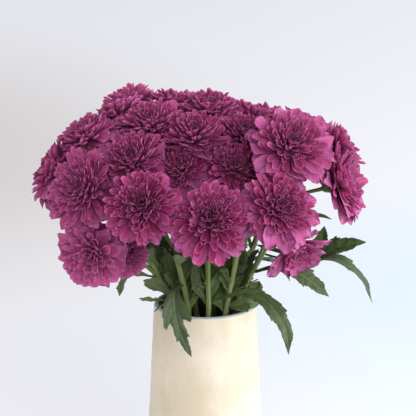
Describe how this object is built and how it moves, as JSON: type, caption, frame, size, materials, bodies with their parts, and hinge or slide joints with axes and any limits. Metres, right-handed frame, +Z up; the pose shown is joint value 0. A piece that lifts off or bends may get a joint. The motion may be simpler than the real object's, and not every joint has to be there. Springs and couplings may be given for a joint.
{
  "type": "chrysanthemums in a jar",
  "caption": "Domed bouquet of double spray chrysanthemums with toothed leaves, standing in water in a tall, slightly conical cream stoneware jar.",
  "frame": {"origin": "centre of the jar's flat base", "axes": "+Z up along the jar's axis, -Y towards the side of the bouquet that the picture shows, +X to its right"},
  "size_m": [0.2926, 0.2413, 0.3863],
  "materials": {
    "stoneware": "cream stoneware with a soft, slightly mottled matt glaze",
    "water": "clear still water",
    "foliage": "dark green leaf with a soft sheen, paler veins and stems",
    "petals": "velvety magenta petals, wine red inside and paler pink at the rims"
  },
  "bodies": {
    "root": {"jar": "stoneware", "water": "water", "leafy_stem_front": "foliage", "leafy_stem_front_right": "foliage", "leafy_stem_right_front": "foliage", "leafy_stem_right": "foliage", "leafy_stem_back_right": "foliage", "leafy_stem_back": "foliage", "leafy_stem_back_left": "foliage", "leafy_stem_left_back": "foliage", "leafy_stem_left": "foliage", "leafy_stem_far_left": "foliage", "leafy_stem_left_front": "foliage", "bloom_01": "petals", "bloom_02": "petals", "bloom_03": "petals", "bloom_04": "petals", "bloom_05": "petals", "bloom_06": "petals", "bloom_07": "petals", "bloom_08": "petals", "bloom_09": "petals", "bloom_10": "petals", "bloom_11": "petals", "bloom_12": "petals", "bloom_13": "petals", "bloom_14": "petals", "bloom_15": "petals", "bloom_16": "petals", "bloom_17": "petals", "bloom_18": "petals", "bloom_19": "petals", "bloom_20": "petals", "bloom_21": "petals", "bloom_22": "petals", "bloom_23": "petals", "bloom_24": "petals", "bloom_25": "petals", "bloom_26": "petals", "bloom_27": "petals", "bloom_28": "petals", "bloom_29": "petals", "bloom_30": "petals", "bloom_31": "petals", "bloom_32": "petals"}
  },
  "joints": []
}
